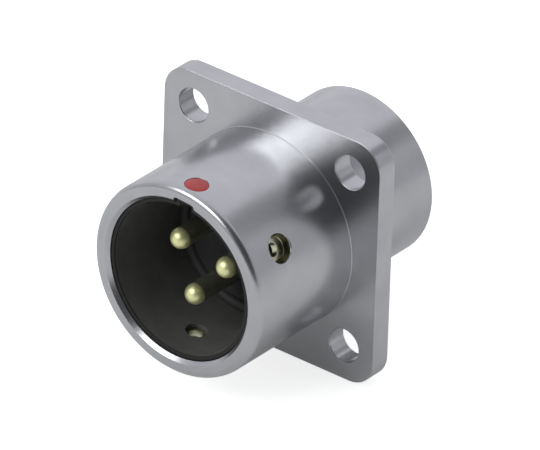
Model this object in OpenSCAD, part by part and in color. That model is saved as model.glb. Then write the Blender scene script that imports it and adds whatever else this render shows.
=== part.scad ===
// Panel receptacle of a push-pull circular connector: a square flange, a keyed mating barrel
// with stepped latch windows, and an insulated insert that carries ball-ended contact pins.
//
// Frame: the connector's axis lies along Y and the mating face looks towards -Y. The origin is
// on the axis in the flange's rear face, which seats on the panel. +Z is the flange's top.
// Angles round the axis are counted from +X towards +Z.

/* [Flange] */
// Width and height of the square flange
flange_w = 20; // [18:0.5:24]
// Thickness of the flange
flange_t = 1.7; // [1.2:0.1:3]
// Radius of the flange's corners
flange_corner_r = 2.2; // [1.5:0.1:3]
// Size of the break on the flange's edges
flange_edge = 0.15; // [0.05:0.05:0.3]
// Distance from the flange's edges to each screw hole's centre
screw_inset = 2.75; // [2.4:0.05:3.1]
// Diameter of the screw holes
screw_hole_d = 2.7; // [2.2:0.1:3.2]

/* [Mating barrel] */
// Outer diameter of the mating barrel
barrel_d = 15.4; // [14.4:0.1:16.6]
// Length of the mating barrel in front of the flange
barrel_len = 10.6; // [9:0.1:13]
// Wall thickness of the mating barrel
barrel_wall = 1.35; // [1.15:0.05:1.8]
// Depth of the mating bore, from the rim to the lip
bore_depth = 8.2; // [7.6:0.1:9.4]
// Radius of the rounding on the rim's outer edge
rim_round = 0.45; // [0.2:0.05:0.6]
// Size of the lead-in chamfer on the rim's inner edge
rim_chamfer = 0.3; // [0.1:0.05:0.4]
// Radius of the fillet where the barrel meets the flange
root_fillet = 0.1; // [0.05:0.05:0.5]

/* [Keyway] */
// Angle of the keyway and the index dot round the axis
key_angle = 86; // [70:1:110]
// Width of the keyway in the barrel's wall
keyway_w = 1.9; // [1.6:0.1:2.4]
// Depth of the keyway in the barrel's wall
keyway_depth = 0.45; // [0.3:0.05:0.7]
// Radius of the keyway's inner corners
keyway_corner = 0.3; // [0.1:0.05:0.4]
// Length of the keyway, from the rim
keyway_len = 6.2; // [4:0.1:7.4]
// Width of the groove in the sleeve that guides the plug's key
key_groove_w = 1.1; // [0.8:0.1:1.3]
// Depth of the groove in the sleeve
key_groove_depth = 0.4; // [0.2:0.05:0.5]

/* [Bore sleeve] */
// Wall thickness of the insulating sleeve in the mating bore
sleeve_wall = 0.3; // [0.25:0.05:0.5]
// How far the sleeve's front edge lies behind the rim
sleeve_recess = 0.35; // [0.1:0.05:1]
// Radial clearance between the sleeve and the bore
sleeve_fit = 0.03; // [0.02:0.01:0.06]

/* [Latch windows] */
// Angle of the latch window to one side of the keyway, which another mirrors on its other side
latch_angle = 30; // [20:1:40]
// Angle of the latch window opposite the keyway
latch_low_angle = 263; // [250:1:280]
// Diameter of the latch windows' pockets in the barrel's outside
latch_d = 2.2; // [1.8:0.1:2.8]
// Depth of the pockets
latch_pocket_depth = 0.8; // [0.5:0.05:1]
// Diameter of the holes from the pockets' floors into the bore
latch_hole_d = 1; // [0.7:0.1:1.3]
// Diameter of the holes in the sleeve that clear them
latch_sleeve_d = 1.6; // [1.4:0.1:2]
// Distance from the rim to the latch windows' centres
latch_from_rim = 3.5; // [3:0.1:5]

/* [Index dot] */
// Diameter of the enamelled index dot
dot_d = 1.8; // [1.4:0.1:2.2]
// Distance from the rim to the dot's centre
dot_from_rim = 1.4; // [1.2:0.1:2]
// Depth of the dot's dimple in the barrel
dot_depth = 0.2; // [0.1:0.05:0.4]
// How far the enamel stands proud of the barrel
dot_rise = 0.03; // [0.01:0.01:0.08]

/* [Rear barrel] */
// Length of the rear barrel behind the flange
rear_len = 9.3; // [8.4:0.1:12]
// Wall thickness of the rear barrel
rear_wall = 0.75; // [0.65:0.05:1.2]
// Size of the chamfer on the rear barrel's outer edge
rear_chamfer = 0.25; // [0.1:0.05:0.3]
// Size of the lead-in chamfer on the rear bore's edge
rear_lead = 0.15; // [0.05:0.05:0.25]
// Height of the inner lip that stops the insert, above the rear bore
lip_step = 0.7; // [0.4:0.05:0.9]
// Thickness of the inner lip
lip_t = 1.2; // [0.8:0.1:1.6]

/* [Interface seal] */
// Diameter of the seal ring's cord
seal_cord_d = 0.8; // [0.6:0.05:1]
// How much the seal's foot is flattened on the lip
seal_squash = 0.08; // [0.04:0.01:0.15]
// Gap between the seal and the walls beside it
seal_gap = 0.05; // [0.02:0.01:0.1]

/* [Insert] */
// Length of the front insulator's body behind the lip
front_insulator_len = 4; // [3:0.1:4.6]
// How far the front insulator's boss stands above the lip
boss_rise = 0.6; // [0.3:0.05:1]
// Size of the chamfer round the boss
boss_chamfer = 0.25; // [0.1:0.05:0.4]
// Length of the rear insulator
rear_insulator_len = 3; // [2:0.1:3.6]
// Radial clearance between the insert and the shell
insert_fit = 0.05; // [0.03:0.01:0.1]
// Angle of the insert's key round the axis
insert_key_angle = 200; // [180:1:220]
// Width of the insert's key
insert_key_w = 1.2; // [0.8:0.1:1.6]
// Height of the insert's key
insert_key_h = 0.35; // [0.2:0.05:0.45]

/* [Retaining nut] */
// Thickness of the ring nut that holds the insert
nut_t = 1.5; // [1:0.1:2]
// Radial width of the ring nut
nut_w = 1.5; // [1.2:0.1:1.8]
// Width of the nut's spanner slots
nut_slot_w = 1.2; // [0.8:0.1:1.6]
// Depth of the nut's spanner slots
nut_slot_depth = 0.8; // [0.4:0.1:0.9]

/* [Contacts] */
// Diameter of the contact pins
pin_d = 1.6; // [1.2:0.1:1.9]
// Diameter of the circle through the pins' axes
pin_circle_d = 5; // [4.6:0.1:5.6]
// Angle of the first pin round the axis
pin_angle = 20; // [0:1:60]
// Distance from the rim to the pins' tips
pin_recess = 2.1; // [1.2:0.1:3]
// Diameter of the contacts' shoulders, held between the insulators
shoulder_d = 2.4; // [2.1:0.1:2.8]
// Thickness of the contacts' shoulders
shoulder_t = 0.8; // [0.5:0.1:1.2]
// Radial clearance of the contacts in the insulators
contact_fit = 0.05; // [0.03:0.01:0.08]
// Outer diameter of the solder cups
cup_d = 2; // [1.7:0.1:2.3]
// Length of the solder cups behind the rear insulator
cup_len = 4.2; // [3:0.1:4.8]
// Diameter of the solder cups' bore
cup_bore_d = 1.4; // [1:0.1:1.5]
// Depth of the solder cups' bore
cup_bore_depth = 3; // [2:0.1:3.4]
// Length of the open scoop at the end of each cup
cup_scoop_len = 2; // [1:0.1:2.4]

/* [Hidden] */
$fn = 96;

contact_count = 3;
past = 1; // how far a cutting tool runs past the surface it opens
dot_fit = 0.01; // clearance round the enamel in its dimple
nut_edge = 0.15; // break on the nut's edges

// Stations along the axis
rim_y = -flange_t - barrel_len;
lip_front_y = rim_y + bore_depth;
lip_rear_y = lip_front_y + lip_t;
insulator_split_y = lip_rear_y + front_insulator_len;
insulator_rear_y = insulator_split_y + rear_insulator_len;
nut_rear_y = insulator_rear_y + nut_t;
shoulder_front_y = insulator_split_y - shoulder_t;
boss_face_y = lip_front_y - boss_rise;
pin_tip_y = rim_y + pin_recess;
cup_end_y = insulator_rear_y + cup_len;

// Radii, from the mating barrel inwards and then out to the rear barrel
barrel_r = barrel_d / 2;
bore_r = barrel_r - barrel_wall;
sleeve_outer_r = bore_r - sleeve_fit;
sleeve_inner_r = sleeve_outer_r - sleeve_wall;
seal_mid_r = sleeve_inner_r - seal_gap - seal_cord_d / 2;
boss_r = sleeve_inner_r - seal_cord_d - 2 * seal_gap;
lip_r = boss_r + insert_fit;
rear_bore_r = lip_r + lip_step;
rear_r = rear_bore_r + rear_wall;
insert_r = rear_bore_r - insert_fit;
nut_inner_r = insert_r - nut_w;
pin_r = pin_d / 2;
pin_circle_r = pin_circle_d / 2;

// Points along an arc round [cx, cy], from one angle to another
function arc(cx, cy, r, from, to, steps = 8) =
    [for (i = [0:steps]) let (a = from + (to - from) * i / steps) [cx + r * cos(a), cy + r * sin(a)]];

// Turns a profile of [radius, y] points about the connector's axis
module turned() {
    rotate([-90, 0, 0]) rotate_extrude() children();
}

// Places a child that points along +X at an angle round the axis and a station along it
module radial(angle, y) {
    rotate([0, -angle, 0]) translate([0, y, 0]) children();
}

// Cylinder that runs outwards from the axis
module radial_hole(d, from_r, to_r) {
    translate([from_r, 0, 0]) rotate([0, 90, 0]) cylinder(d = d, h = to_r - from_r);
}

module barrel_outline() {
    polygon(concat(
        [[0, rim_y]],
        arc(barrel_r - rim_round, rim_y + rim_round, rim_round, -90, 0),
        arc(barrel_r + root_fillet, -flange_t - root_fillet, root_fillet, 180, 90),
        [[barrel_r + root_fillet, -flange_t / 2], [0, -flange_t / 2]]));
}

module rear_outline() {
    polygon([[0, -flange_t / 2], [rear_r, -flange_t / 2], [rear_r, rear_len - rear_chamfer],
             [rear_r - rear_chamfer, rear_len], [0, rear_len]]);
}

module bore_outline() {
    polygon([[0, rim_y - past], [bore_r + rim_chamfer + past, rim_y - past],
             [bore_r, rim_y + rim_chamfer], [bore_r, lip_front_y], [lip_r, lip_front_y],
             [lip_r, lip_rear_y], [rear_bore_r, lip_rear_y], [rear_bore_r, rear_len - rear_lead],
             [rear_bore_r + rear_lead + past, rear_len + past], [0, rear_len + past]]);
}

// A bar of the flange between two rows of corners, with its long edges broken
module flange_bar() {
    length = flange_w - 2 * flange_corner_r;
    half = flange_w / 2;
    rotate([90, 0, 90]) translate([0, 0, -length / 2]) linear_extrude(height = length)
        polygon([[-flange_t, -half + flange_edge], [-flange_t + flange_edge, -half],
                 [-flange_edge, -half], [0, -half + flange_edge], [0, half - flange_edge],
                 [-flange_edge, half], [-flange_t + flange_edge, half],
                 [-flange_t, half - flange_edge]]);
}

module flange_corner() {
    turned() polygon([[0, -flange_t], [flange_corner_r - flange_edge, -flange_t],
                      [flange_corner_r, -flange_t + flange_edge], [flange_corner_r, -flange_edge],
                      [flange_corner_r - flange_edge, 0], [0, 0]]);
}

module at_flange_corners(inset) {
    reach = flange_w / 2 - inset;
    for (x = [-reach, reach], z = [-reach, reach]) translate([x, 0, z]) children();
}

module flange() {
    flange_bar();
    rotate([0, 90, 0]) flange_bar();
    at_flange_corners(flange_corner_r) flange_corner();
}

// Round-cornered bar along the bore's wall: the keyway's tool, and the rib that fills it
module key_bar(from_y, to_y, clearance) {
    corner = keyway_corner;
    top_r = bore_r + keyway_depth - clearance;
    half = keyway_w / 2 - clearance;
    foot_r = sleeve_inner_r + sleeve_wall / 2;
    radial(key_angle, from_y) rotate([-90, 0, 0]) linear_extrude(height = to_y - from_y) {
        translate([foot_r, -half]) square([top_r - corner - foot_r, 2 * half]);
        translate([foot_r, -half + corner]) square([top_r - foot_r, 2 * (half - corner)]);
        for (side = [-1, 1]) translate([top_r - corner, side * (half - corner)]) circle(r = corner);
    }
}

// Places a child that points along +X at each window where the plug's latch catches
module at_latches() {
    for (angle = [latch_angle, 2 * key_angle - latch_angle, latch_low_angle])
        radial(angle, rim_y + latch_from_rim) children();
}

// A rib on the insert, or the slot that takes it and stops the insert from turning
module insert_key(width, top_r, from_y, to_y) {
    radial(insert_key_angle, from_y) translate([insert_r / 2, 0, -width / 2])
        cube([top_r - insert_r / 2, to_y - from_y, width]);
}

module receptacle_shell() {
    color("gainsboro") difference() {
        union() {
            flange();
            turned() barrel_outline();
            turned() rear_outline();
        }
        turned() bore_outline();
        key_bar(rim_y - past, rim_y + keyway_len, 0);
        at_latches() {
            radial_hole(latch_hole_d, bore_r / 2, barrel_r + past);
            radial_hole(latch_d, barrel_r - latch_pocket_depth, barrel_r + past);
        }
        insert_key(insert_key_w + 2 * insert_fit, insert_r + insert_key_h + insert_fit,
                   lip_rear_y, rear_len + past);
        at_flange_corners(screw_inset) rotate([90, 0, 0])
            cylinder(d = screw_hole_d, h = 2 * (flange_t + past), center = true);
        index_mark(dot_d, past);
    }
}

// The piece of the barrel's wall that the index dot takes up
module index_mark(d, rise) {
    intersection() {
        radial(key_angle, rim_y + dot_from_rim) radial_hole(d, bore_r, barrel_r + past);
        turned() translate([barrel_r - dot_depth, rim_y - past])
            square([dot_depth + rise, barrel_len]);
    }
}

module index_dot() {
    color("crimson") index_mark(dot_d - 2 * dot_fit, dot_rise);
}

// Thin black liner of the mating bore, with a rib in the keyway and a groove for the plug's key
module bore_sleeve() {
    front_y = rim_y + sleeve_recess;
    groove_top_r = sleeve_inner_r + key_groove_depth;
    color([0.13, 0.14, 0.13]) difference() {
        union() {
            turned() translate([0, front_y]) square([sleeve_outer_r, lip_front_y - front_y]);
            key_bar(front_y, rim_y + keyway_len - sleeve_fit, sleeve_fit);
        }
        turned() translate([0, front_y - past])
            square([sleeve_inner_r, lip_front_y - front_y + 2 * past]);
        radial(key_angle, front_y - past) translate([sleeve_inner_r / 2, 0, -key_groove_w / 2])
            cube([groove_top_r - sleeve_inner_r / 2, keyway_len - sleeve_recess, key_groove_w]);
        at_latches() radial_hole(latch_sleeve_d, sleeve_inner_r / 2, barrel_r);
    }
}

module interface_seal() {
    cord_r = seal_cord_d / 2;
    color([0.12, 0.12, 0.12]) turned() intersection() {
        translate([seal_mid_r, lip_front_y - cord_r + seal_squash]) circle(r = cord_r, $fn = 48);
        translate([0, lip_front_y - seal_cord_d]) square([bore_r, seal_cord_d]);
    }
}

// Puts a child that stands on the axis at each contact's place
module at_contact(i) {
    radial(pin_angle + i * 360 / contact_count, 0) translate([pin_circle_r, 0, 0]) children();
}

module contact_hole(r, from_y, to_y) {
    translate([0, from_y, 0]) rotate([-90, 0, 0]) cylinder(r = r, h = to_y - from_y);
}

module front_insulator() {
    color([0.16, 0.17, 0.16]) difference() {
        union() {
            turned() polygon([[0, boss_face_y], [boss_r - boss_chamfer, boss_face_y],
                              [boss_r, boss_face_y + boss_chamfer], [boss_r, lip_rear_y],
                              [insert_r, lip_rear_y], [insert_r, insulator_split_y],
                              [0, insulator_split_y]]);
            insert_key(insert_key_w, insert_r + insert_key_h, lip_rear_y, insulator_split_y);
        }
        for (i = [0:contact_count - 1]) at_contact(i) {
            contact_hole(pin_r + contact_fit, boss_face_y - past, insulator_split_y + past);
            contact_hole(shoulder_d / 2 + contact_fit, shoulder_front_y, insulator_split_y + past);
        }
    }
}

module rear_insulator() {
    color([0.2, 0.21, 0.2]) difference() {
        union() {
            turned() translate([0, insulator_split_y]) square([insert_r, rear_insulator_len]);
            insert_key(insert_key_w, insert_r + insert_key_h, insulator_split_y, insulator_rear_y);
        }
        for (i = [0:contact_count - 1]) at_contact(i)
            contact_hole(pin_r + contact_fit, insulator_split_y - past, insulator_rear_y + past);
    }
}

module retaining_nut() {
    color("silver") difference() {
        turned() polygon([[nut_inner_r, insulator_rear_y], [insert_r - nut_edge, insulator_rear_y],
                          [insert_r, insulator_rear_y + nut_edge], [insert_r, nut_rear_y - nut_edge],
                          [insert_r - nut_edge, nut_rear_y], [nut_inner_r, nut_rear_y]]);
        translate([-insert_r - past, nut_rear_y - nut_slot_depth, -nut_slot_w / 2])
            cube([2 * (insert_r + past), nut_slot_depth + past, nut_slot_w]);
    }
}

// A turned contact: ball-ended pin, shoulder, stem, and a solder cup that opens outwards
module contact() {
    cup_r = cup_d / 2;
    shoulder_r = shoulder_d / 2;
    difference() {
        turned() polygon(concat(
            arc(0, pin_tip_y + pin_r, pin_r, -90, 0, 12),
            [[pin_r, shoulder_front_y], [shoulder_r, shoulder_front_y],
             [shoulder_r, insulator_split_y], [pin_r, insulator_split_y],
             [pin_r, insulator_rear_y], [cup_r, insulator_rear_y], [cup_r, cup_end_y],
             [0, cup_end_y]]));
        contact_hole(cup_bore_d / 2, cup_end_y - cup_bore_depth, cup_end_y + past);
        translate([0, cup_end_y - cup_scoop_len, -cup_r - past])
            cube([cup_r + past, cup_scoop_len + past, 2 * (cup_r + past)]);
    }
}

module contact_pin(i) {
    color("gold") at_contact(i) contact();
}

receptacle_shell();
index_dot();
bore_sleeve();
interface_seal();
front_insulator();
rear_insulator();
retaining_nut();
contact_pin(0);  // contact_pin_1
contact_pin(1);  // contact_pin_2
contact_pin(2);  // contact_pin_3
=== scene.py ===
"""Looks for a square-flange panel receptacle of a circular connector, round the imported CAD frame.

Lengths are in millimetres until a finished mesh is scaled to metres. The connector's axis lies along Y
and its mating face looks towards -Y. Angles round the axis are counted from +X towards +Z.
A visible piece is built from smooth patches, each a grid of points with the true normal at each point.
Booleans then cut holes and slots, and every face takes its normals back from the patch it came from.
"""
import math

import bmesh
import bpy
import numpy as np
from mathutils import Matrix, Vector
from mathutils.bvhtree import BVHTree


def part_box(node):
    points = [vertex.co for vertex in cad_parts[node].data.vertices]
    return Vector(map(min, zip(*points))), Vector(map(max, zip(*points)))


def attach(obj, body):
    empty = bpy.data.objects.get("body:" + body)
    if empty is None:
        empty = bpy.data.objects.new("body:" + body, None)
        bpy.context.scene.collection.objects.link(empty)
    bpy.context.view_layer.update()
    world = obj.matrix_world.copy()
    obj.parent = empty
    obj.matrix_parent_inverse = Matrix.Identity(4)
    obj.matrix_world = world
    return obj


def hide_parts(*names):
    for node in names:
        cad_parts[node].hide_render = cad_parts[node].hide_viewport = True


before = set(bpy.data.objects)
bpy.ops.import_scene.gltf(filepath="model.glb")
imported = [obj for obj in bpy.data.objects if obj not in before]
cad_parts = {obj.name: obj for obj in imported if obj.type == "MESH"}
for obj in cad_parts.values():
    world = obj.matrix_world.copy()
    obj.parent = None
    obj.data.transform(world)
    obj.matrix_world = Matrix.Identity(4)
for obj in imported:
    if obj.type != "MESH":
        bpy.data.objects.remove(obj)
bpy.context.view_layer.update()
MM = 1000.0


def node_box(node):
    """Lowest and highest corner of a CAD node, in millimetres."""
    low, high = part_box(node)
    return np.array(low) * MM, np.array(high) * MM


# ---------------------------------------------------------------- sizes

shell_low, shell_high = node_box("receptacle_shell")
boss_low, body_high = node_box("front_insulator")
rear_high = node_box("rear_insulator")[1]
nut_high = node_box("retaining_nut")[1]
sleeve_low, sleeve_high = node_box("bore_sleeve")
pin_low, pin_high = node_box("contact_pin_1")

FLANGE_HALF = shell_high[0]
FLANGE_T = 1.7
CORNER_R = 2.2
SHELL_EDGE = 0.07
ROOT_FILLET = 0.06
HOLE_PITCH = 7.25
HOLE_R = 1.35
HOLE_EDGE = 0.08
RIM_Y = shell_low[1]
REAR_Y = shell_high[1]
BARREL_R = 7.7
RIM_ROUND = 0.6
BORE_R = 6.35
BORE_LEAD_IN = 0.3
REAR_R = 6.62
REAR_CHAMFER = 0.25
REAR_BORE_R = 5.87
REAR_LEAD_IN = 0.15
LIP_R = 5.17
LIP_FRONT_Y = sleeve_high[1]
LIP_REAR_Y = LIP_FRONT_Y + 1.2
KEY_ANGLE = math.radians(86)
KEY_HALF = 0.95
KEY_DEPTH = 0.45
KEY_CORNER = 0.3
KEY_LENGTH = 6.2
KEY_EDGE = 0.1
LATCH_R = 1.1
LATCH_EDGE = 0.08
LATCH_DEPTH = 0.8
LATCH_HOLE_R = 0.5
LATCH_SLEEVE_R = 0.8
LATCH_Y = RIM_Y + 3.5
LATCH_ANGLES = [math.radians(a) for a in (30, 142, 263)]
DOT_R = 0.9
DOT_Y = RIM_Y + 1.4
DIMPLE_DEPTH = 0.2
DIMPLE_EDGE = 0.04
SLEEVE_OUTER_R = 6.32
SLEEVE_INNER_R = 6.02
SLEEVE_FRONT_Y = sleeve_low[1]
RIB_GAP = 0.03
GROOVE_HALF = 0.55
GROOVE_LENGTH = 4.85
SEAL_MID_R = 5.57
SEAL_CORD_R = 0.4
SEAL_FLAT = 0.08
BOSS_R = 5.12
BOSS_Y = boss_low[1]
BOSS_CHAMFER = 0.25
INSERT_R = 5.82
SPLIT_Y = body_high[1]
INSERT_REAR_Y = rear_high[1]
INSERT_KEY_ANGLE = math.radians(200)
INSERT_KEY_HALF = 0.6
INSERT_KEY_DEPTH = 0.35
INSERT_KEY_GAP = 0.05
NUT_INNER_R = 4.32
NUT_REAR_Y = nut_high[1]
NUT_SLOT_HALF = 0.6
NUT_SLOT_DEPTH = 0.8
PIN_R = 0.8
PIN_CIRCLE_R = 2.5
PIN_ANGLES = [math.radians(20 + 120 * i) for i in range(3)]
PIN_TIP_Y = pin_low[1]
PIN_HOLE_R = PIN_R + 0.05
SHOULDER_R = 1.2
SHOULDER_T = 0.8
CUP_R = 1.0
CUP_BORE_R = 0.7
CUP_BORE_LENGTH = 3.0
CUP_END_Y = pin_high[1]
SCOOP_R = 0.9
SCOOP_LENGTH = 2.0
THREAD_PITCH = 0.5
THREAD_DEPTH = 0.16

# A cutter's side turns outwards by FLARE where it meets a surface, which rounds the hole's edge. Its
# collar, COLLAR times the edge's radius wider than the hole, stands COLLAR_GAP clear of the surface.
FLARE = math.radians(80)
COLLAR = 1.1
COLLAR_GAP = 0.02


# ---------------------------------------------------------------- patches


class Patch:
    """A grid of points with their normals. Rows run along a profile and columns go round."""

    def __init__(self, points, normals, wrap=True):
        self.points = np.asarray(points, float)
        self.normals = np.asarray(normals, float)
        self.wrap = wrap

    def quads(self, first):
        """Corner indices of the grid's faces, turned to face the same way as the normals."""
        rows, cols = self.points.shape[:2]
        last = cols if self.wrap else cols - 1
        i = np.arange(rows - 1)[:, None]
        j = np.arange(last)[None, :]
        k = (j + 1) % cols
        faces = np.stack([i * cols + j, i * cols + k, (i + 1) * cols + k, (i + 1) * cols + j], -1)
        faces = faces.reshape(-1, 4)
        p = self.points.reshape(-1, 3)[faces]
        n = self.normals.reshape(-1, 3)[faces].sum(1)
        across = np.cross(p[:, 2] - p[:, 0], p[:, 3] - p[:, 1])
        if (across * n).sum() < 0:
            faces = faces[:, ::-1]
        return faces + first

    def tree(self):
        """A search tree over the patch's triangles, and the triangles themselves."""
        quads = self.quads(0)
        triangles = np.concatenate([quads[:, [0, 1, 2]], quads[:, [0, 2, 3]]])
        p = self.points.reshape(-1, 3)[triangles]
        area = np.linalg.norm(np.cross(p[:, 1] - p[:, 0], p[:, 2] - p[:, 0]), axis=1)
        triangles = triangles[area > 1e-10]
        points = [Vector(v) for v in self.points.reshape(-1, 3)]
        return BVHTree.FromPolygons(points, triangles.tolist()), triangles


def rounded(corners, steps=6, flip=False):
    """A smooth profile through corner points (a, b, radius), as rows of a, b and the normal."""
    pts = [np.array(c[:2], float) for c in corners]
    rows = []
    for i, corner in enumerate(corners):
        before = pts[i] - pts[i - 1] if i else pts[1] - pts[0]
        after = pts[i + 1] - pts[i] if i + 1 < len(pts) else before
        before = before / np.linalg.norm(before)
        after = after / np.linalg.norm(after)
        turn = math.atan2(before[0] * after[1] - before[1] * after[0], float(before @ after))
        normal = np.array([-before[1], before[0]])
        radius = corner[2] if len(corner) > 2 else 0.0
        if abs(turn) < 1e-6 or radius == 0.0:
            rows.append((*pts[i], *normal))
            continue
        start = pts[i] - before * radius * math.tan(abs(turn) / 2)
        side = math.copysign(radius, turn)
        centre = start + side * normal
        count = max(2, round(steps * abs(turn) / (math.pi / 2)))
        for k in range(count + 1):
            a = turn * k / count
            n = np.array([normal[0] * math.cos(a) - normal[1] * math.sin(a),
                          normal[0] * math.sin(a) + normal[1] * math.cos(a)])
            rows.append((*(centre - side * n), *n))
    profile = np.array(rows)
    if flip:
        profile[:, 2:] *= -1
    return profile


def spread(profile, longest):
    """The same profile with its long straight stretches divided."""
    rows = [profile[0]]
    for a, b in zip(profile[:-1], profile[1:]):
        count = max(1, math.ceil(np.linalg.norm(b[:2] - a[:2]) / longest))
        rows += [a + (b - a) * k / count for k in range(1, count + 1)]
    return np.array(rows)


def sweep(base, outward, profile):
    """A profile of (offset, y) swept round a line of base points along their outward directions."""
    offset, y, out, along = (profile[:, k][:, None] for k in range(4))
    ones = np.ones(len(base))[None, :]
    points = np.stack([base[None, :, 0] + offset * outward[None, :, 0], y * ones,
                       base[None, :, 1] + offset * outward[None, :, 1]], -1)
    normals = np.stack([out * outward[None, :, 0], along * ones, out * outward[None, :, 1]], -1)
    return Patch(points, normals)


def circle(count, centre=(0.0, 0.0)):
    """Base points and outward directions of a circle's columns."""
    a = np.arange(count) * 2 * math.pi / count
    return np.tile(np.array(centre, float), (count, 1)), np.stack([np.cos(a), np.sin(a)], -1)


def lathe(profile, count=192, centre=(0.0, 0.0)):
    """One smooth profile turned about an axis along Y."""
    return sweep(*circle(count, centre), profile)


def turned_body(profiles, count=192, centre=(0.0, 0.0)):
    """Patches turned about an axis along Y, one for each smooth profile."""
    return [lathe(p, count, centre) for p in profiles]


def radial_frame(angle):
    """Directions outwards, round the axis and along it, at an angle round the axis."""
    outward = np.array([math.cos(angle), 0.0, math.sin(angle)])
    around = np.array([-math.sin(angle), 0.0, math.cos(angle)])
    return outward, around, np.array([0.0, 1.0, 0.0])


def mouth(radius, y, edge, steps):
    """Profile rows of a hole's rounded edge where it opens at station y, widest first."""
    tilts = [FLARE * k / steps for k in range(steps, -1, -1)]
    return [(radius + edge * (1 - math.cos(t)), y + edge * (1 - math.sin(t)), math.cos(t), math.sin(t))
            for t in tilts]


def radial_cutter(angle, y, radius, inner, outer, edge, wall_r, facing=1, step=None, count=64):
    """A cylinder that points outwards from the axis, flared where it meets the wall at wall_r.

    With facing 1 the flare opens outwards and with -1 it opens towards the axis. A step, given as
    (radius, height), is a narrower hole that runs on from a floor at that height."""
    outward, around, along = radial_frame(angle)
    phi = np.arange(count) * 2 * math.pi / count
    u, v = np.cos(phi), np.sin(phi)
    side = u[:, None] * around + v[:, None] * along
    start = inner if facing > 0 else outer
    end = outer if facing > 0 else inner
    points, normals = [], []

    def ring(rho, height, tilt):
        points.append(height[:, None] * outward + rho * side + y * along)
        wall = (rho * u[:, None] * around + height[:, None] * outward)
        wall /= np.linalg.norm(wall, axis=1)[:, None]
        normals.append(math.cos(tilt) * side - facing * math.sin(tilt) * wall)

    def surface(rho, depth):
        return np.sqrt(wall_r ** 2 - (rho * u) ** 2) - facing * depth

    if step:
        hole_r, floor_r = step
        profile = rounded([(hole_r, inner), (hole_r, floor_r, 0.06), (radius, floor_r, 0.08),
                           (radius, floor_r + 0.3)], 4, True)
        for rho, height, out, up in profile:
            points.append(height * outward + rho * side + y * along)
            normals.append(out * side + up * outward)
    else:
        ring(radius, np.full(count, float(start)), 0)
    steps = 6
    for k in range(steps + 1):
        tilt = FLARE * k / steps
        rho = radius + edge * (1 - math.cos(tilt))
        ring(rho, surface(rho, edge * (1 - math.sin(tilt))), tilt)
    rho = radius + edge * COLLAR
    ring(rho, surface(rho, -COLLAR_GAP), FLARE)
    body = Patch(points, normals)
    last = np.array(points[-1])
    top = last + (end - wall_r) * outward
    collar = Patch([last, top], [side, side])
    return [body, collar, cap(points[0], -facing * outward), cap(top, facing * outward)]


def cap(ring, normal):
    """A fan from a ring to its middle."""
    ring = np.asarray(ring)
    middle = np.tile(ring.mean(0), (len(ring), 1))
    return Patch([ring, middle], np.tile(np.asarray(normal, float), (2, len(ring), 1)))


def closed_cutter(profiles, count, centre):
    """A cutter turned about an axis along Y, capped at its first row and at its last."""
    patches = turned_body(profiles, count, centre)
    front = cap(patches[0].points[0], (0, -1, 0))
    back = cap(patches[-1].points[-1], (0, 1, 0))
    return patches + [front, back]


def box_patches(low, high, turn=0.0):
    """The six sides of a box, turned round the Y axis."""
    outward, around, along = radial_frame(turn)
    axes = np.array([outward, along, around])
    patches = []
    for axis in range(3):
        one, two = [k for k in range(3) if k != axis]
        for side, at in ((-1, low[axis]), (1, high[axis])):
            grid = np.zeros((2, 2, 3))
            for i in range(2):
                for j in range(2):
                    corner = np.zeros(3)
                    corner[axis] = at
                    corner[one] = (low, high)[i][one]
                    corner[two] = (low, high)[j][two]
                    grid[i, j] = corner @ axes
            patches.append(Patch(grid, np.tile(side * axes[axis], (2, 2, 1)), wrap=False))
    return patches


def bar_cutter(angle, outline, profile):
    """An outline of (outward, around, normal, normal) rows swept along Y with a profile."""
    outward, around, along = radial_frame(angle)
    base = outline[:, 0:1] * outward + outline[:, 1:2] * around
    out = outline[:, 2:3] * outward + outline[:, 3:4] * around
    points = [base + row[0] * out + row[1] * along for row in profile]
    normals = [row[2] * out + row[3] * along for row in profile]
    return [Patch(points, normals), cap(points[0], -along), cap(points[-1], along)]


# ---------------------------------------------------------------- meshes

WELD = 2e-5


def raw_mesh(name, patches, first_id):
    """A closed mesh from patches that meet, with each face marked by the number of its patch."""
    verts, faces, ids, start = [], [], [], 0
    for number, patch in enumerate(patches):
        quads = patch.quads(start)
        verts.append(patch.points.reshape(-1, 3))
        faces.append(quads)
        ids += [first_id + number] * len(quads)
        start += patch.points.shape[0] * patch.points.shape[1]
    mesh = bpy.data.meshes.new(name)
    mesh.from_pydata(np.concatenate(verts).tolist(), [], np.concatenate(faces).tolist())
    mesh.attributes.new("patch", "INT", "FACE").data.foreach_set("value", ids)
    bm = bmesh.new()
    bm.from_mesh(mesh)
    bmesh.ops.remove_doubles(bm, verts=bm.verts, dist=WELD)
    bmesh.ops.recalc_face_normals(bm, faces=bm.faces)
    open_edges = sum(1 for e in bm.edges if len(e.link_faces) != 2)
    if open_edges:
        raise RuntimeError(f"{name} isn't closed: {open_edges} open edges")
    bm.to_mesh(mesh)
    bm.free()
    return mesh


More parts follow.
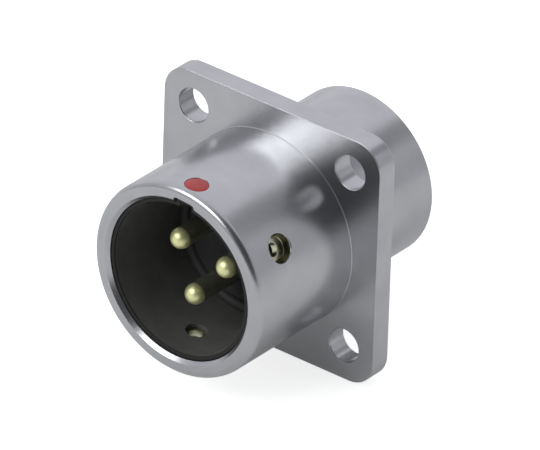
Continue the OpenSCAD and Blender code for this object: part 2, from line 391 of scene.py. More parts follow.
def settle_normals(mesh, patches):
    """Gives every face corner the normal of the patch that its face came from."""
    trees = [patch.tree() for patch in patches]
    points = [p.points.reshape(-1, 3) for p in patches]
    normals = [p.normals.reshape(-1, 3) for p in patches]
    ids = mesh.attributes["patch"].data
    found = [Vector((0, 0, 1))] * len(mesh.loops)
    for face in mesh.polygons:
        number = ids[face.index].value
        tree, triangles = trees[number]
        facing = face.normal
        for loop in face.loop_indices:
            co = mesh.vertices[mesh.loops[loop].vertex_index].co
            spot, _, index, _ = tree.find_nearest(co)
            tri = triangles[index]
            a, b, c = points[number][tri]
            one, two, three = b - a, c - a, np.array(spot) - a
            d11, d12, d22 = one @ one, one @ two, two @ two
            d31, d32 = three @ one, three @ two
            scale = d11 * d22 - d12 * d12
            s = (d22 * d31 - d12 * d32) / scale
            t = (d11 * d32 - d12 * d31) / scale
            na, nb, nc = normals[number][tri]
            n = Vector(na * (1 - s - t) + nb * s + nc * t).normalized()
            found[loop] = n if n.dot(facing) >= 0 else -n
    mesh.shade_smooth()
    mesh.normals_split_custom_set(found)


def build(name, patches, *steps):
    """One piece in metres. Each step is an operation and its closed forms, clear of each other."""
    everything = list(patches)
    mesh = raw_mesh(name, patches, 0)
    piece = bpy.data.objects.new(name, mesh)
    bpy.context.collection.objects.link(piece)
    for operation, forms in steps:
        flat = [patch for form in forms for patch in form]
        tool = bpy.data.objects.new("tool", raw_mesh("tool", flat, len(everything)))
        everything += flat
        bpy.context.collection.objects.link(tool)
        modifier = piece.modifiers.new("cut", "BOOLEAN")
        modifier.object = tool
        modifier.operation = operation
        modifier.solver = "EXACT"
        depsgraph = bpy.context.evaluated_depsgraph_get()
        result = bpy.data.meshes.new_from_object(piece.evaluated_get(depsgraph))
        piece.modifiers.clear()
        piece.data = result
        bpy.data.objects.remove(tool)
    mesh = piece.data
    mesh.name = name
    settle_normals(mesh, everything)
    mesh.attributes.remove(mesh.attributes["patch"])
    mesh.transform(Matrix.Scale(1 / MM, 4))
    return piece


def dress(piece, node, material):
    """The piece stands for a CAD node, rides on the body and wears the material."""
    piece.data.materials.clear()
    piece.data.materials.append(material)
    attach(piece, "root")
    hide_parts(node)
    return piece


# ---------------------------------------------------------------- materials


def new_material(name):
    """A material with its nodes, its links and its shader."""
    material = bpy.data.materials.new(name)
    material.use_nodes = True
    nodes = material.node_tree.nodes
    return material, nodes, material.node_tree.links, nodes["Principled BSDF"]


def noise(nodes, links, coord, scale, detail=2.0, roughness=0.5, stretch=(1, 1, 1)):
    """A noise in the object's own space; scale counts waves in a millimetre."""
    mapping = nodes.new("ShaderNodeMapping")
    mapping.inputs["Scale"].default_value = [s * MM for s in stretch]
    links.new(coord.outputs["Object"], mapping.inputs["Vector"])
    texture = nodes.new("ShaderNodeTexNoise")
    texture.inputs["Scale"].default_value = scale
    texture.inputs["Detail"].default_value = detail
    texture.inputs["Roughness"].default_value = roughness
    links.new(mapping.outputs["Vector"], texture.inputs["Vector"])
    return texture.outputs["Fac"]


def ramp(nodes, links, factor, low, high, start=0.3, end=0.7):
    """Colours or greys from low to high along a noise."""
    node = nodes.new("ShaderNodeValToRGB")
    node.color_ramp.elements[0].position = start
    node.color_ramp.elements[1].position = end
    node.color_ramp.elements[0].color = (*low, 1)
    node.color_ramp.elements[1].color = (*high, 1)
    links.new(factor, node.inputs["Fac"])
    return node.outputs["Color"]


def grey_range(nodes, links, factor, low, high, start=0.3, end=0.7):
    """A number that runs from low to high while the factor runs from start to end."""
    node = nodes.new("ShaderNodeMapRange")
    node.inputs["From Min"].default_value = start
    node.inputs["From Max"].default_value = end
    node.inputs["To Min"].default_value = low
    node.inputs["To Max"].default_value = high
    links.new(factor, node.inputs["Value"])
    return node.outputs["Result"]


def bump(nodes, links, shader, height, distance, strength):
    """Relief on the shader's normal; the distance is in millimetres."""
    node = nodes.new("ShaderNodeBump")
    node.inputs["Distance"].default_value = distance / MM
    node.inputs["Strength"].default_value = strength
    links.new(height, node.inputs["Height"])
    links.new(node.outputs["Normal"], shader.inputs["Normal"])


def arithmetic(nodes, links, operation, *values):
    """A math node on sockets and numbers."""
    node = nodes.new("ShaderNodeMath")
    node.operation = operation
    for socket, value in zip(node.inputs, values):
        if isinstance(value, (int, float)):
            socket.default_value = value
        else:
            links.new(value, socket)
    return node.outputs["Value"]


def blend(nodes, links, factor, one, two):
    """Colour one where the factor is 0 and colour two where it is 1.

    The mix node's colour sockets are its inputs 6 and 7 and its output 2."""
    node = nodes.new("ShaderNodeMix")
    node.data_type = "RGBA"
    links.new(factor, node.inputs[0])
    for socket, colour in ((node.inputs[6], one), (node.inputs[7], two)):
        if isinstance(colour, tuple):
            socket.default_value = (*colour, 1)
        else:
            links.new(colour, socket)
    return node.outputs[2]


def position(nodes, links, coord):
    """The object's own x, y and z as sockets, in metres."""
    place = nodes.new("ShaderNodeSeparateXYZ")
    links.new(coord.outputs["Object"], place.inputs["Vector"])
    return place.outputs


def satin_chrome():
    """Pearl chrome over a blasted shell. Down in the latch windows the cut brass shows on the pocket
    floors, and the pocket walls are darkened with painted shade.
    """
    material, nodes, links, shader = new_material("satin_chrome")
    coord = nodes.new("ShaderNodeTexCoord")
    clouds = noise(nodes, links, coord, scale=0.35, detail=3)
    grain = noise(nodes, links, coord, scale=9.0, detail=3, roughness=0.6)
    plated = ramp(nodes, links, clouds, (0.475, 0.48, 0.495), (0.535, 0.54, 0.555))

    x, y, z = position(nodes, links, coord)
    x_squared = arithmetic(nodes, links, "MULTIPLY", x, x)
    z_squared = arithmetic(nodes, links, "MULTIPLY", z, z)
    squares = arithmetic(nodes, links, "ADD", x_squared, z_squared)
    radius = arithmetic(nodes, links, "SQRT", squares)
    beside = arithmetic(nodes, links, "COMPARE", y, LATCH_Y / MM, (LATCH_R + 0.2) / MM)
    below = arithmetic(nodes, links, "LESS_THAN", radius, (BARREL_R - 0.12) / MM)
    clear_of_key = arithmetic(nodes, links, "LESS_THAN", z, 0.7 * BARREL_R / MM)
    sunk = arithmetic(nodes, links, "MULTIPLY", below, clear_of_key)
    window = arithmetic(nodes, links, "MULTIPLY", beside, sunk)
    floor_r = BARREL_R - LATCH_DEPTH
    painted_shade_on_wall = arithmetic(nodes, links, "GREATER_THAN", radius, (floor_r + 0.05) / MM)
    # Painted shade: the pocket's wall is painted dark brown to stand in for its shade, and the floor
    # keeps the bare brass colour.
    cut = blend(nodes, links, painted_shade_on_wall, (0.66, 0.65, 0.48), (0.10, 0.095, 0.055))
    links.new(blend(nodes, links, window, plated, cut), shader.inputs["Base Color"])
    links.new(grey_range(nodes, links, grain, 0.23, 0.27), shader.inputs["Roughness"])
    shader.inputs["Metallic"].default_value = 1.0
    bump(nodes, links, shader, grain, distance=0.003, strength=0.12)
    return material


def bright_nickel():
    """The ring nut's plating, a little warmer and brighter than the shell's."""
    material, nodes, links, shader = new_material("bright_nickel")
    coord = nodes.new("ShaderNodeTexCoord")
    clouds = noise(nodes, links, coord, scale=0.8, detail=3)
    links.new(ramp(nodes, links, clouds, (0.50, 0.48, 0.44), (0.60, 0.58, 0.54)),
              shader.inputs["Base Color"])
    links.new(grey_range(nodes, links, clouds, 0.22, 0.32), shader.inputs["Roughness"])
    shader.inputs["Metallic"].default_value = 1.0
    fine = noise(nodes, links, coord, scale=12.0, detail=2)
    bump(nodes, links, shader, fine, distance=0.004, strength=0.3)
    return material


def gold_plating():
    """Contacts: pale gold, with painted shade darkening the shank between the ball and the insulator.
    """
    material, nodes, links, shader = new_material("gold_plating")
    coord = nodes.new("ShaderNodeTexCoord")
    clouds = noise(nodes, links, coord, scale=1.5, detail=3)
    y = position(nodes, links, coord)["Y"]
    equator = PIN_TIP_Y + PIN_R
    past_ball = grey_range(nodes, links, y, 0.0, 1.0, (equator - 0.05) / MM, (equator + 0.15) / MM)
    in_front = arithmetic(nodes, links, "LESS_THAN", y, SPLIT_Y / MM)
    painted_shade_on_shank = arithmetic(nodes, links, "MULTIPLY", past_ball, in_front)
    gold = ramp(nodes, links, clouds, (0.92, 0.92, 0.46), (0.97, 0.97, 0.53))
    # Painted shade: the shank's colour is darkened to stand in for the dark bore that it reflects.
    shank = ramp(nodes, links, clouds, (0.27, 0.27, 0.20), (0.34, 0.34, 0.26))
    links.new(blend(nodes, links, painted_shade_on_shank, gold, shank), shader.inputs["Base Color"])
    wear = grey_range(nodes, links, clouds, 0.36, 0.44)
    smooth = arithmetic(nodes, links, "MULTIPLY", painted_shade_on_shank, -0.18)
    links.new(arithmetic(nodes, links, "ADD", wear, smooth), shader.inputs["Roughness"])
    shader.inputs["Metallic"].default_value = 0.75
    turning = noise(nodes, links, coord, scale=14.0, detail=2, stretch=(0.15, 1, 0.15))
    bump(nodes, links, shader, turning, distance=0.003, strength=0.25)
    return material


def red_enamel():
    """The index dot's enamel: red, with a thin clear gloss."""
    material, nodes, links, shader = new_material("red_enamel")
    coord = nodes.new("ShaderNodeTexCoord")
    clouds = noise(nodes, links, coord, scale=1.2, detail=3)
    links.new(ramp(nodes, links, clouds, (0.40, 0.016, 0.014), (0.50, 0.024, 0.020)),
              shader.inputs["Base Color"])
    links.new(grey_range(nodes, links, clouds, 0.3, 0.4), shader.inputs["Roughness"])
    shader.inputs["Coat Weight"].default_value = 0.25
    shader.inputs["Coat Roughness"].default_value = 0.12
    fine = noise(nodes, links, coord, scale=6.0, detail=2)
    bump(nodes, links, shader, fine, distance=0.004, strength=0.3)
    return material


def black_plastic(name, dark, light, smoothest, grain_scale, grain_depth, specular, painted_shade_edge_y=None):
    """Black plastic or rubber: matt grain with faint clouding, and deep black painted shade in front
    of the given edge station.
    """
    material, nodes, links, shader = new_material(name)
    coord = nodes.new("ShaderNodeTexCoord")
    clouds = noise(nodes, links, coord, scale=0.6, detail=4)
    grain = noise(nodes, links, coord, scale=grain_scale, detail=3, roughness=0.6)
    colour = ramp(nodes, links, clouds, dark, light)
    if painted_shade_edge_y is not None:
        # Painted shade: in front of this station the colour is painted near-black to stand in for
        # shade at the front edge.
        y = position(nodes, links, coord)["Y"]
        front = arithmetic(nodes, links, "LESS_THAN", y, painted_shade_edge_y / MM)
        colour = blend(nodes, links, front, colour, (0.018, 0.018, 0.016))
    links.new(colour, shader.inputs["Base Color"])
    links.new(grey_range(nodes, links, grain, smoothest, 0.65), shader.inputs["Roughness"])
    shader.inputs["Specular IOR Level"].default_value = specular
    bump(nodes, links, shader, grain, distance=grain_depth, strength=0.5)
    return material


# ---------------------------------------------------------------- receptacle shell


def flange_columns(arc_steps=16, edge_steps=48):
    """Base points and outward directions round the flange's rounded square, corner by corner."""
    reach = FLANGE_HALF - CORNER_R
    corners = [reach * np.array(signs) for signs in ((1, 1), (-1, 1), (-1, -1), (1, -1))]
    base, outward = [], []
    for quarter, corner in enumerate(corners):
        after = corners[(quarter + 1) % 4]
        first = math.radians(90 * quarter)
        for k in range(arc_steps):
            a = first + math.pi / 2 * k / arc_steps
            base.append(corner)
            outward.append((math.cos(a), math.sin(a)))
        a = first + math.pi / 2
        for k in range(edge_steps):
            base.append(corner + (after - corner) * k / edge_steps)
            outward.append((math.cos(a), math.sin(a)))
    return np.array(base), np.array(outward)


def thread_patch(outward, radius, start, end, side):
    """A fine helical thread between two stations, fading out at both, on columns that go round.

    With side -1 its relief and its normals point inwards from the radius, and with side 1 outwards."""
    rows = max(8, round((end - start) / THREAD_PITCH * 12))
    y = np.linspace(start, end, rows + 1)[:, None]
    turn = np.arctan2(outward[:, 1], outward[:, 0])[None, :] / (2 * math.pi)
    phase = (y / THREAD_PITCH + turn) % 1.0
    tooth = 1 - np.abs(2 * phase - 1)
    flat = 0.12
    tooth = np.clip((tooth - flat) / (1 - 2 * flat), 0, 1)
    fade = np.clip(np.minimum(y - start, end - y) / (0.6 * THREAD_PITCH), 0, 1)
    r = radius + side * THREAD_DEPTH * tooth * fade
    points = np.stack([r * outward[None, :, 0], y * np.ones_like(r), r * outward[None, :, 1]], -1)
    along = np.gradient(points, axis=0)
    around = np.roll(points, -1, axis=1) - np.roll(points, 1, axis=1)
    normals = np.cross(along, around)
    normals /= np.linalg.norm(normals, axis=2)[:, :, None]
    outwards = normals[:, :, 0] * outward[None, :, 0] + normals[:, :, 2] * outward[None, :, 1]
    return Patch(points, normals if outwards.sum() * side > 0 else -normals)


def screw_hole_cutter(x, z):
    """A hole along Y through the flange, with both edges rounded."""
    collar_r = HOLE_R + HOLE_EDGE * COLLAR
    clear = -FLANGE_T - COLLAR_GAP
    collar_front = [(collar_r, -FLANGE_T - 0.5, 1, 0), (collar_r, clear, 1, 0)]
    front = [(collar_r, clear, math.cos(FLARE), math.sin(FLARE))]
    front += mouth(HOLE_R, -FLANGE_T, HOLE_EDGE, 6)
    back = [(a, -FLANGE_T - b, c, -d) for a, b, c, d in reversed(front)]
    collar_back = [(a, -FLANGE_T - b, c, d) for a, b, c, d in reversed(collar_front)]
    profiles = [np.array(rows) for rows in (collar_front, front + back, collar_back)]
    return closed_cutter(profiles, 64, (x, z))


def key_outline(top, half, foot, corner, foot_corner=0.1):
    """Round-cornered outline of the keyway, as rows of outward, around and the outline's normal."""
    corners = [(foot, 0), (foot, -half, foot_corner), (top, -half, corner), (top, half, corner),
               (foot, half, foot_corner), (foot, 0)]
    return rounded(corners, 8, True)[:-1]


def keyway_cutter():
    """The keyway's bar from in front of the rim to its blind end, with its edge rounded at the rim."""
    outline = key_outline(BORE_R + KEY_DEPTH, KEY_HALF, BORE_R - 0.6, KEY_CORNER)
    collar = KEY_EDGE * COLLAR
    profile = [(collar, RIM_Y - 0.5, 1, 0), (collar, RIM_Y - COLLAR_GAP, 1, 0)]
    profile += mouth(0, RIM_Y, KEY_EDGE, 5)
    profile += [(0, RIM_Y + KEY_LENGTH, 1, 0)]
    return bar_cutter(KEY_ANGLE, outline, profile)


def receptacle_shell():
    """The plated body: turned surfaces and the flange's sides in one closed form, then its holes."""
    base, outward = flange_columns()
    rim = base + outward * CORNER_R
    angle = np.arctan2(rim[:, 1], rim[:, 0])
    centre = np.zeros_like(base)
    radial = np.stack([np.cos(angle), np.sin(angle)], -1)

    front = rounded([(BARREL_R + ROOT_FILLET + 0.4, -FLANGE_T), (BARREL_R, -FLANGE_T, ROOT_FILLET),
                     (BARREL_R, RIM_Y, RIM_ROUND), (BORE_R + BORE_LEAD_IN, RIM_Y, 0.06),
                     (BORE_R, RIM_Y + BORE_LEAD_IN, 0.12), (BORE_R, LIP_FRONT_Y)], 10)
    lip = rounded([(BORE_R, LIP_FRONT_Y), (LIP_R, LIP_FRONT_Y, 0.06), (LIP_R, LIP_REAR_Y, 0.06),
                   (REAR_BORE_R, LIP_REAR_Y)], 4)
    thread_start = NUT_REAR_Y - 0.7
    thread_end = REAR_Y - 0.3
    plain_bore = rounded([(REAR_BORE_R, LIP_REAR_Y), (REAR_BORE_R, thread_start)], 4)
    thread = thread_patch(radial, REAR_BORE_R, thread_start, thread_end, -1)
    back = rounded([(REAR_BORE_R, thread_end), (REAR_BORE_R, REAR_Y - REAR_LEAD_IN, 0.05),
                    (REAR_BORE_R + REAR_LEAD_IN, REAR_Y, 0.05), (REAR_R - REAR_CHAMFER, REAR_Y, 0.08),
                    (REAR_R, REAR_Y - REAR_CHAMFER, 0.12), (REAR_R, 0, 0.12), (REAR_R + 0.4, 0)], 8)
    inset = CORNER_R - SHELL_EDGE - 0.02
    side = rounded([(inset, 0), (CORNER_R, 0, SHELL_EDGE), (CORNER_R, -FLANGE_T, SHELL_EDGE),
                    (inset, -FLANGE_T)], 6)

    front, lip, plain_bore, back = (sweep(centre, radial, p) for p in (front, lip, plain_bore, back))
    side = sweep(base, outward, side)
    patches = [front, lip, plain_bore, thread, back, side]
    for inner, outer, way in ((front.points[0], side.points[-1], -1.0),
                              (back.points[-1], side.points[0], 1.0)):
        face = np.stack([inner + (outer - inner) * k / 4 for k in range(5)])
        patches.append(Patch(face, np.tile([0.0, way, 0.0], (5, len(inner), 1))))

    beyond = BARREL_R + 1
    pitches = (-HOLE_PITCH, HOLE_PITCH)
    latch_step = (LATCH_HOLE_R, BARREL_R - LATCH_DEPTH)
    cuts = [screw_hole_cutter(x, z) for x in pitches for z in pitches]
    cuts += [radial_cutter(a, LATCH_Y, LATCH_R, inner=BORE_R - 1.5, outer=beyond, edge=LATCH_EDGE,
                           wall_r=BARREL_R, step=latch_step) for a in LATCH_ANGLES]
    cuts.append(keyway_cutter())
    cuts.append(radial_cutter(KEY_ANGLE, DOT_Y, DOT_R, inner=BARREL_R - DIMPLE_DEPTH, outer=beyond,
                              edge=DIMPLE_EDGE, wall_r=BARREL_R))
    half = INSERT_KEY_HALF + INSERT_KEY_GAP
    reach = INSERT_R + INSERT_KEY_DEPTH + INSERT_KEY_GAP
    cuts.append(box_patches((INSERT_R - 2, LIP_REAR_Y, -half), (reach, REAR_Y + 1, half),
                            turn=INSERT_KEY_ANGLE))
    return build("shell", patches, ("DIFFERENCE", cuts))


# ---------------------------------------------------------------- the other pieces


def index_dot():
    """Enamel that fills the dimple and stands up in a low dome, drawn down a little at its edge."""
    outward, around, along = radial_frame(KEY_ANGLE)
    radius = DOT_R - 0.01
    crown = 0.028
    drop = 0.075
    power = 6
    phi = np.arange(48) * 2 * math.pi / 48
    side = np.cos(phi)[:, None] * around + np.sin(phi)[:, None] * along
    u = np.cos(phi)

    def ring(rho, rise):
        height = np.sqrt(BARREL_R ** 2 - (rho * u) ** 2) + rise
        return height[:, None] * outward + rho * side + DOT_Y * along

    rows, normals = [], []
    steps = 14
    for k in range(steps + 1):
        share = k / steps
        rho = radius * math.sin(share * math.pi / 2)
        rows.append(ring(rho, crown - drop * (rho / radius) ** power))
        slope = drop * power * (rho / radius) ** (power - 1) / radius
        wall = rho * u[:, None] * around + np.sqrt(BARREL_R ** 2 - (rho * u) ** 2)[:, None] * outward
        wall /= np.linalg.norm(wall, axis=1)[:, None]
        n = wall + slope * side
        normals.append(n / np.linalg.norm(n, axis=1)[:, None])
    top = Patch(rows, normals)
    foot = ring(radius, 0.005 - DIMPLE_DEPTH)
    wall = Patch([rows[-1], foot], [side, side])
    return build("enamel_dot", [top, wall, cap(foot, -outward)])


def bore_sleeve():
    """The bore's lining, joined to the rib in the keyway, then cut by the key groove and windows."""
    front = SLEEVE_FRONT_Y
    profile = [
        rounded([(SLEEVE_OUTER_R, LIP_FRONT_Y), (SLEEVE_OUTER_R, front, 0.06),
                 (SLEEVE_INNER_R, front, 0.1), (SLEEVE_INNER_R, LIP_FRONT_Y)], 6),
        rounded([(SLEEVE_INNER_R, LIP_FRONT_Y), (SLEEVE_OUTER_R, LIP_FRONT_Y)], 6),
    ]
    outline = key_outline(BORE_R + KEY_DEPTH - RIB_GAP, KEY_HALF - RIB_GAP, SLEEVE_INNER_R + 0.12,
                          KEY_CORNER - RIB_GAP)
    edge = 0.08
    tilts = [math.pi / 2 * k / 4 for k in range(4, -1, -1)]
    rib_front = [(-edge * (1 - math.cos(t)), front + 0.01 + edge * (1 - math.sin(t)), math.cos(t),
                  -math.sin(t)) for t in tilts]
    rib = bar_cutter(KEY_ANGLE, outline, rib_front + [(0, RIM_Y + KEY_LENGTH - RIB_GAP, 1, 0)])
    groove = box_patches((SLEEVE_INNER_R / 2, front - 1, -GROOVE_HALF),
                         (SLEEVE_INNER_R + 0.4, front + GROOVE_LENGTH, GROOVE_HALF), turn=KEY_ANGLE)
    windows = [radial_cutter(a, LATCH_Y, LATCH_SLEEVE_R, inner=SLEEVE_INNER_R - 1.2,
                             outer=SLEEVE_OUTER_R + 1, edge=0.05, wall_r=SLEEVE_INNER_R, facing=-1)
               for a in LATCH_ANGLES]
    return build("bore_liner", turned_body(profile), ("UNION", [rib]),
                 ("DIFFERENCE", [groove] + windows))


def interface_seal():
    """Rubber ring with its foot flattened on the lip."""
    middle_y = LIP_FRONT_Y - SEAL_CORD_R + SEAL_FLAT
    foot = math.acos(1 - SEAL_FLAT / SEAL_CORD_R)
    turns = [math.pi / 2 + foot + (2 * math.pi - 2 * foot) * k / 32 for k in range(33)]
    round_part = np.array([(SEAL_MID_R + SEAL_CORD_R * math.cos(t),
                            middle_y + SEAL_CORD_R * math.sin(t), math.cos(t), math.sin(t))
                           for t in turns])
    flat = np.array([(*round_part[-1][:2], 0, 1), (*round_part[0][:2], 0, 1)])
    return build("seal_ring", turned_body([round_part, flat], 160))


def pin_centre(angle):
    """Where a contact's axis stands, as x and z."""
    return np.array([PIN_CIRCLE_R * math.cos(angle), PIN_CIRCLE_R * math.sin(angle)])


def contact_holes(profiles):
    """One cutter for each contact, turned about the contact's axis."""
    return [closed_cutter(profiles, 48, pin_centre(a)) for a in PIN_ANGLES]


def straight(radius, start, end):
    """A profile along Y at one radius."""
    return np.array([(radius, start, 1, 0), (radius, end, 1, 0)])


def insulator(name, profile, key_start, key_end, holes):
    """A turned insulator with a key rib between two stations and a hole for each contact."""
    key = box_patches((INSERT_R - 1, key_start, -INSERT_KEY_HALF),
                      (INSERT_R + INSERT_KEY_DEPTH, key_end, INSERT_KEY_HALF), turn=INSERT_KEY_ANGLE)
    return build(name, turned_body([profile]), ("UNION", [key]), ("DIFFERENCE", holes))


def front_insulator():
    """Body and boss in front of the contacts' shoulders, with a chamfer at each contact hole."""
    profile = rounded([(0, SPLIT_Y), (INSERT_R, SPLIT_Y, 0.05), (INSERT_R, LIP_REAR_Y, 0.08),
                       (BOSS_R, LIP_REAR_Y, 0.05), (BOSS_R, BOSS_Y + BOSS_CHAMFER, 0.08),
                       (BOSS_R - BOSS_CHAMFER, BOSS_Y, 0.08), (0, BOSS_Y)], 5)
    chamfer = 0.12
    widest = PIN_HOLE_R + chamfer
    clear = BOSS_Y - 0.001
    narrow = BOSS_Y + chamfer
    holes = contact_holes([straight(widest, BOSS_Y - 0.4, clear),
                           np.array([(widest, clear, 0.7, 0.7), (PIN_HOLE_R, narrow, 0.7, 0.7)]),
                           straight(PIN_HOLE_R, narrow, SPLIT_Y + 1)])
    return insulator("insert_front", profile, LIP_REAR_Y + 0.08, SPLIT_Y - 0.08, holes)


def rear_insulator():
    """The disc that closes over the contacts' shoulders."""
    profile = rounded([(0, INSERT_REAR_Y), (INSERT_R - 0.1, INSERT_REAR_Y, 0.04),
                       (INSERT_R, INSERT_REAR_Y - 0.1, 0.04), (INSERT_R, SPLIT_Y, 0.05),
                       (0, SPLIT_Y)], 5)
    holes = contact_holes([straight(PIN_HOLE_R, SPLIT_Y - 1, INSERT_REAR_Y + 1)])
    return insulator("insert_rear", profile, SPLIT_Y + 0.08, INSERT_REAR_Y - 0.08, holes)


def retaining_nut():
    """Ring nut with a fine outer thread, softly broken edges and two spanner slots."""
    front, back = INSERT_REAR_Y, NUT_REAR_Y
    crest = INSERT_R - 0.02
    outer, inner = 0.12, 0.15
    start, end = front + 0.15, back - 0.15
    thread = thread_patch(circle(256)[1], crest, start, end, -1)
    thread.normals *= -1
    ends = rounded([(crest, end), (crest, back - outer, 0.04), (crest - outer, back, 0.04),
                    (NUT_INNER_R + inner, back, 0.06), (NUT_INNER_R, back - inner, 0.06),
                    (NUT_INNER_R, front, 0.05), (crest - outer, front, 0.04),
                    (crest, front + outer, 0.04), (crest, start)], 5, True)
    slot = box_patches((-INSERT_R - 1, back - NUT_SLOT_DEPTH, -NUT_SLOT_HALF),
                       (INSERT_R + 1, back + 1, NUT_SLOT_HALF))
    return build("ring_nut", [thread, lathe(ends, 256)], ("DIFFERENCE", [slot]))


def contact(number):
    """Turned contact: ball end, shank, shoulder, stem and a solder cup scooped on its outer side."""
    angle = PIN_ANGLES[number]
    centre = pin_centre(angle)
    shoulder_y = SPLIT_Y - SHOULDER_T
    ball = [(PIN_R * math.sin(t), PIN_TIP_Y + PIN_R * (1 - math.cos(t)), math.sin(t), -math.cos(t))
            for t in (math.pi / 2 * k / 16 for k in range(17))]
    shank = spread(straight(PIN_R, PIN_TIP_Y + PIN_R, shoulder_y), 0.6)
    profiles = [np.concatenate([ball, shank[1:]]),
                rounded([(PIN_R, shoulder_y), (SHOULDER_R, shoulder_y, 0.08),
                         (SHOULDER_R, SPLIT_Y, 0.08), (PIN_R, SPLIT_Y)], 4, True),
                rounded([(PIN_R, SPLIT_Y), (PIN_R, INSERT_REAR_Y)], 4, True),
                rounded([(PIN_R, INSERT_REAR_Y), (CUP_R, INSERT_REAR_Y, 0.06),
                         (CUP_R, CUP_END_Y, 0.08), (0, CUP_END_Y)], 5, True)]

    bottom = CUP_END_Y - CUP_BORE_LENGTH
    flare_start, flare_end = CUP_END_Y - 0.1, CUP_END_Y + 0.06
    wide = CUP_BORE_R + flare_end - flare_start
    bore = [np.array([(0, bottom - 0.3, 0.4, -0.9), (CUP_BORE_R, bottom, 0.4, -0.9)]),
            straight(CUP_BORE_R, bottom, flare_start),
            np.array([(CUP_BORE_R, flare_start, 0.7, -0.7), (wide, flare_end, 0.7, -0.7)]),
            straight(wide, flare_end, CUP_END_Y + 1)]
    bore_patches = turned_body(bore, 48, centre)
    bore_patches.append(cap(bore_patches[-1].points[-1], (0, 1, 0)))
    return build(f"contact_{number + 1}", turned_body(profiles, 64, centre),
                 ("DIFFERENCE", [bore_patches]), ("DIFFERENCE", [scoop_cutter(angle)]))


def scoop_cutter(angle):
    """Takes the outer half of the cup's end away, running out in a quarter round at its front."""
    outward, around, along = radial_frame(angle)
    start = CUP_END_Y - SCOOP_LENGTH
    axis_r = PIN_CIRCLE_R
    far = axis_r + CUP_R + 1.0
    profile = rounded([(far, start), (axis_r, start, SCOOP_R), (axis_r, CUP_END_Y + 1)], 12)
    half = CUP_R + 0.5

    def line(side):
        return np.array([row[0] * outward + row[1] * along + side * half * around for row in profile])

    normals = np.array([row[2] * outward + row[3] * along for row in profile])
    curved = Patch([line(-1), line(1)], [normals, normals], wrap=False)
    back = np.array([far * outward + (CUP_END_Y + 1) * along + s * half * around for s in (-1, 1)])
    ends = [line(-1)[-1], line(1)[-1]]
    starts = [line(-1)[0], line(1)[0]]
    top = Patch([ends, back], np.tile(along, (2, 2, 1)), wrap=False)
    outer = Patch([back, starts], np.tile(outward, (2, 2, 1)), wrap=False)
    sides = []
    for s, corner in ((-1, back[0]), (1, back[1])):
        points = line(s)
        fan = np.stack([points, np.tile(corner, (len(points), 1))])
        sides.append(Patch(fan, np.tile(s * around, (2, len(points), 1)), wrap=False))
    return [curved, top, outer] + sides


chrome = satin_chrome()
nickel = bright_nickel()
gold = gold_plating()
enamel = red_enamel()
plastic = black_plastic("black_insulator", dark=(0.045, 0.045, 0.045), light=(0.060, 0.060, 0.060),
                        smoothest=0.5, grain_scale=7.0, grain_depth=0.006, specular=0.35)
# The liner's front edge takes painted shade.
liner = black_plastic("bore_liner", dark=(0.100, 0.103, 0.096), light=(0.126, 0.130, 0.120),
                      smoothest=0.55, grain_scale=7.0, grain_depth=0.006, specular=0.3,
                      painted_shade_edge_y=SLEEVE_FRONT_Y + 0.12)
rubber = black_plastic("black_rubber", dark=(0.05, 0.05, 0.05), light=(0.07, 0.07, 0.07),
                       smoothest=0.5, grain_scale=10.0, grain_depth=0.01, specular=0.3)

dress(receptacle_shell(), "receptacle_shell", chrome)
dress(index_dot(), "index_dot", enamel)
dress(bore_sleeve(), "bore_sleeve", liner)
dress(interface_seal(), "interface_seal", rubber)
dress(front_insulator(), "front_insulator", plastic)
dress(rear_insulator(), "rear_insulator", plastic)
dress(retaining_nut(), "retaining_nut", nickel)
for index in range(len(PIN_ANGLES)):
    dress(contact(index), f"contact_pin_{index + 1}", gold)


# ---------------------------------------------------------------- floor, light and camera

CAMERA_LIFT = 0.75
MIRROR_LIFT = 0.12
ROOM_LEVEL = 0.54
VIEW_AZIMUTH = 37.884
VIEW_ELEVATION = 30.421
VIEW_ROLL = 1.938
VIEW_DISTANCE = 0.8176
LENS_LENGTH = 753.12


def floor():
    """A pale table under the flange: white to the camera, with a shadow, and clear from below."""
    size = 1.5
    z = (-FLANGE_HALF - 0.02) / MM
    corners = [(-size, -size, z), (size, -size, z), (size, size, z), (-size, size, z)]
    mesh = bpy.data.meshes.new("floor")
    mesh.from_pydata(corners, [], [(0, 1, 2, 3)])
    plane = bpy.data.objects.new("floor", mesh)
    bpy.context.collection.objects.link(plane)
    material = bpy.data.materials.new("pale_table")
    material.use_nodes = True
    nodes, links = material.node_tree.nodes, material.node_tree.links
    nodes.clear()
    path = nodes.new("ShaderNodeLightPath")
    geometry = nodes.new("ShaderNodeNewGeometry")
    matt = nodes.new("ShaderNodeBsdfDiffuse")
    matt.inputs["Color"].default_value = (0.79, 0.8, 0.79, 1)
    mirrored = arithmetic(nodes, links, "MAXIMUM", path.outputs["Is Glossy Ray"],
                          path.outputs["Is Transmission Ray"])
    to_camera = arithmetic(nodes, links, "MULTIPLY", path.outputs["Is Camera Ray"], CAMERA_LIFT)
    to_metal = arithmetic(nodes, links, "MULTIPLY", mirrored, MIRROR_LIFT)
    lift = nodes.new("ShaderNodeEmission")
    links.new(arithmetic(nodes, links, "ADD", to_camera, to_metal), lift.inputs["Strength"])
    seen = nodes.new("ShaderNodeAddShader")
    clear = nodes.new("ShaderNodeBsdfTransparent")
    below = nodes.new("ShaderNodeMixShader")
    out = nodes.new("ShaderNodeOutputMaterial")
    links.new(matt.outputs[0], seen.inputs[0])
    links.new(lift.outputs[0], seen.inputs[1])
    links.new(geometry.outputs["Backfacing"], below.inputs[0])
    links.new(seen.outputs[0], below.inputs[1])
    links.new(clear.outputs[0], below.inputs[2])
    links.new(below.outputs[0], out.inputs["Surface"])
    mesh.materials.append(material)


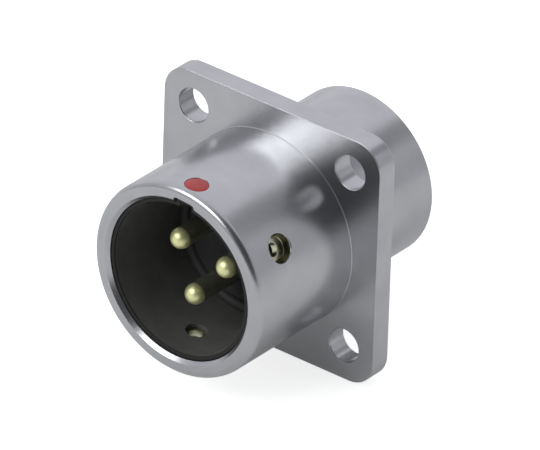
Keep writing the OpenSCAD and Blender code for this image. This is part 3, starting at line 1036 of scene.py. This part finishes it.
def direction(azimuth, elevation):
    """A unit vector; azimuth 0 is -Y, where the mating face looks, and +X is at 90."""
    az, el = math.radians(azimuth), math.radians(elevation)
    return Vector((math.sin(az) * math.cos(el), -math.cos(az) * math.cos(el), math.sin(el)))


def studio():
    """A pale room with a dark side to the front right, which gives the metal its shading."""
    world = bpy.data.worlds.new("studio")
    bpy.context.scene.world = world
    world.use_nodes = True
    nodes, links = world.node_tree.nodes, world.node_tree.links
    nodes.clear()
    coord = nodes.new("ShaderNodeTexCoord")

    def spot(now, middle, inner, outer, amount):
        """Moves the level towards amount, fully inside inner degrees and not at all past outer."""
        dot = nodes.new("ShaderNodeVectorMath")
        dot.operation = "DOT_PRODUCT"
        dot.inputs[1].default_value = middle
        links.new(coord.outputs["Generated"], dot.inputs[0])
        share = nodes.new("ShaderNodeMapRange")
        share.interpolation_type = "SMOOTHSTEP"
        share.inputs["From Min"].default_value = math.cos(math.radians(outer))
        share.inputs["From Max"].default_value = math.cos(math.radians(inner))
        links.new(dot.outputs["Value"], share.inputs["Value"])
        mix = nodes.new("ShaderNodeMix")
        links.new(share.outputs["Result"], mix.inputs["Factor"])
        links.new(now, mix.inputs["A"])
        mix.inputs["B"].default_value = amount
        return mix.outputs["Result"]

    room = nodes.new("ShaderNodeValue")
    room.outputs[0].default_value = ROOM_LEVEL
    level = spot(room.outputs[0], direction(-140, 35), inner=30, outer=80, amount=0.86)
    level = spot(level, direction(152, 39), inner=6, outer=16, amount=0.34)
    level = spot(level, direction(50, 30), inner=26, outer=50, amount=0.08)
    background = nodes.new("ShaderNodeBackground")
    background.inputs["Color"].default_value = (0.98, 0.985, 1.04, 1)
    links.new(level, background.inputs["Strength"])
    white = nodes.new("ShaderNodeBackground")
    white.inputs["Color"].default_value = (1, 1, 1, 1)
    white.inputs["Strength"].default_value = 1.0
    path = nodes.new("ShaderNodeLightPath")
    mix = nodes.new("ShaderNodeMixShader")
    out = nodes.new("ShaderNodeOutputWorld")
    links.new(path.outputs["Is Camera Ray"], mix.inputs[0])
    links.new(background.outputs[0], mix.inputs[1])
    links.new(white.outputs[0], mix.inputs[2])
    links.new(mix.outputs[0], out.inputs["Surface"])


def softbox(name, azimuth, elevation, distance, width, height, radiance):
    """A rectangular light, in metres, that faces the object and that the camera doesn't see."""
    light = bpy.data.lights.new(name, "AREA")
    light.shape = "RECTANGLE"
    light.size = width
    light.size_y = height
    light.energy = radiance * math.pi * width * height
    lamp = bpy.data.objects.new(name, light)
    bpy.context.collection.objects.link(lamp)
    towards = direction(azimuth, elevation)
    lamp.location = towards * distance
    lamp.rotation_euler = towards.to_track_quat("Z", "Y").to_euler()
    lamp.visible_camera = False


def camera():
    """The photograph's view: a long lens above the mating face, on its +X side, slightly rolled."""
    back = direction(VIEW_AZIMUTH, VIEW_ELEVATION)
    azimuth = math.radians(VIEW_AZIMUTH)
    right = Vector((math.cos(azimuth), math.sin(azimuth), 0))
    up = back.cross(right)
    roll = math.radians(VIEW_ROLL)
    across = math.cos(roll) * right + math.sin(roll) * up
    upward = -math.sin(roll) * right + math.cos(roll) * up
    lens = bpy.data.cameras.new("camera")
    lens.lens = LENS_LENGTH
    lens.sensor_width = 36
    lens.clip_start = 0.01
    lens.clip_end = 10
    view = bpy.data.objects.new("camera", lens)
    bpy.context.collection.objects.link(view)
    middle = Vector((0, -FLANGE_T / MM, 0))
    shift = (across * 0.11 + upward * 0.04) / MM
    place = middle + back * VIEW_DISTANCE + shift
    turn = Matrix((across, upward, back)).transposed().to_4x4()
    view.matrix_world = Matrix.Translation(place) @ turn
    bpy.context.scene.camera = view


floor()
studio()
softbox("key_light", azimuth=-18, elevation=38.5, distance=0.5, width=0.36, height=0.18,
        radiance=4.2)
camera()
bpy.context.scene.view_settings.view_transform = "Standard"
